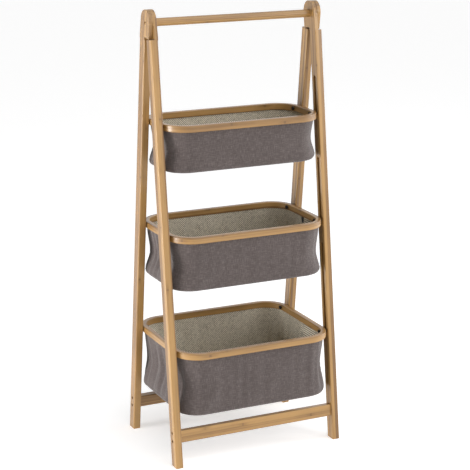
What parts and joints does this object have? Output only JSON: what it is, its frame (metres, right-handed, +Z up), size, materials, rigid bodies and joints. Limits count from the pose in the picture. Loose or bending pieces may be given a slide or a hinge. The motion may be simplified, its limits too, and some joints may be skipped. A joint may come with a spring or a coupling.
{
  "type": "folding A-frame basket rack",
  "caption": "Free-standing folding bamboo A-frame rack with a round top bar, low crossbars and fabric baskets on bentwood rings.",
  "frame": {"origin": "centre of the footprint on the floor, rack open", "axes": "+X to the right across the rack, +Y from front to back, +Z up"},
  "size_m": [0.42, 0.3, 1.019],
  "materials": {
    "bamboo": "satin lacquered bamboo strip",
    "bentwood": "satin lacquered bent bamboo band",
    "cloth": "matt linen-look weave",
    "lining": "matt woven lining",
    "board": "lining cloth over stiff board",
    "webbing": "black webbing",
    "steel": "plated steel"
  },
  "bodies": {
    "front_frame": {"front_leg_left": "bamboo", "front_leg_right": "bamboo", "front_crossbar": "bamboo", "top_bar": "bamboo", "hinge_screws": "steel", "hinge_washers": "steel", "front_crossbar_screws": "steel"},
    "rear_frame": {"rear_leg_left": "bamboo", "rear_leg_right": "bamboo", "rear_crossbar": "bamboo", "rear_crossbar_screws": "steel", "basket_bolts": "steel", "basket_spacers": "steel"},
    "top_basket": {"top_outer_band": "bentwood", "top_inner_band": "bentwood", "top_bag": "cloth", "top_lining": "lining", "top_front_bolts": "steel"},
    "top_slider": {"top_slide_pins": "steel"},
    "top_board": {"top_base_board": "board"},
    "middle_basket": {"middle_outer_band": "bentwood", "middle_inner_band": "bentwood", "middle_bag": "cloth", "middle_lining": "lining", "middle_front_bolts": "steel", "middle_pull_tab": "webbing"},
    "middle_slider": {"middle_slide_pins": "steel"},
    "middle_board": {"middle_base_board": "board"},
    "bottom_basket": {"bottom_outer_band": "bentwood", "bottom_inner_band": "bentwood", "bottom_bag": "cloth", "bottom_lining": "lining", "bottom_front_bolts": "steel"},
    "bottom_slider": {"bottom_slide_pins": "steel"},
    "bottom_board": {"bottom_base_board": "board"}
  },
  "joints": [
    {"name": "fold", "type": "hinge", "parent": "front_frame", "child": "rear_frame", "pos_m": [0, 0.0039, 0.99], "axis": [-1, 0, 0], "range_deg": [0, 13.4]},
    {"name": "top_basket_tilt", "type": "hinge", "parent": "rear_frame", "child": "top_basket", "pos_m": [0, 0.04373, 0.7645], "axis": [-1, 0, 0], "range_deg": [0, 62.98], "deforming": ["top_bag", "top_lining"]},
    {"name": "top_board_lift", "type": "slide", "parent": "top_basket", "child": "top_board", "axis": [0, 0, 1], "range_m": [0, 0.0833]},
    {"name": "top_pin_slide", "type": "slide", "parent": "front_frame", "child": "top_slider", "axis": [0, 0.1219, 0.9925], "range_m": [0, 0.0773]},
    {"name": "middle_basket_tilt", "type": "hinge", "parent": "rear_frame", "child": "middle_basket", "pos_m": [0, 0.07122, 0.5195], "axis": [-1, 0, 0], "range_deg": [0, 71.66], "deforming": ["middle_bag", "middle_lining"]},
    {"name": "middle_board_lift", "type": "slide", "parent": "middle_basket", "child": "middle_board", "axis": [0, 0, 1], "range_m": [0, 0.1023]},
    {"name": "middle_pin_slide", "type": "slide", "parent": "front_frame", "child": "middle_slider", "axis": [0, 0.1219, 0.9925], "range_m": [0, 0.1374]},
    {"name": "bottom_basket_tilt", "type": "hinge", "parent": "rear_frame", "child": "bottom_basket", "pos_m": [0, 0.10049, 0.2585], "axis": [-1, 0, 0], "range_deg": [0, 75.33], "deforming": ["bottom_bag", "bottom_lining"]},
    {"name": "bottom_board_lift", "type": "slide", "parent": "bottom_basket", "child": "bottom_board", "axis": [0, 0, 1], "range_m": [0, 0.1263]},
    {"name": "bottom_pin_slide", "type": "slide", "parent": "front_frame", "child": "bottom_slider", "axis": [0, 0.1219, 0.9925], "range_m": [0, 0.1999]}
  ],
  "couplings": [
    {"joint": "top_pin_slide", "follows": "fold", "m_per_rad": 0.3303},
    {"joint": "top_basket_tilt", "follows": "fold", "ratio": 4.6999},
    {"joint": "top_board_lift", "follows": "fold", "m_per_rad": 0.354},
    {"joint": "middle_pin_slide", "follows": "fold", "m_per_rad": 0.5873},
    {"joint": "middle_basket_tilt", "follows": "fold", "ratio": 5.3477},
    {"joint": "middle_board_lift", "follows": "fold", "m_per_rad": 0.4353},
    {"joint": "bottom_pin_slide", "follows": "fold", "m_per_rad": 0.8548},
    {"joint": "bottom_basket_tilt", "follows": "fold", "ratio": 5.6216},
    {"joint": "bottom_board_lift", "follows": "fold", "m_per_rad": 0.5379}
  ]
}
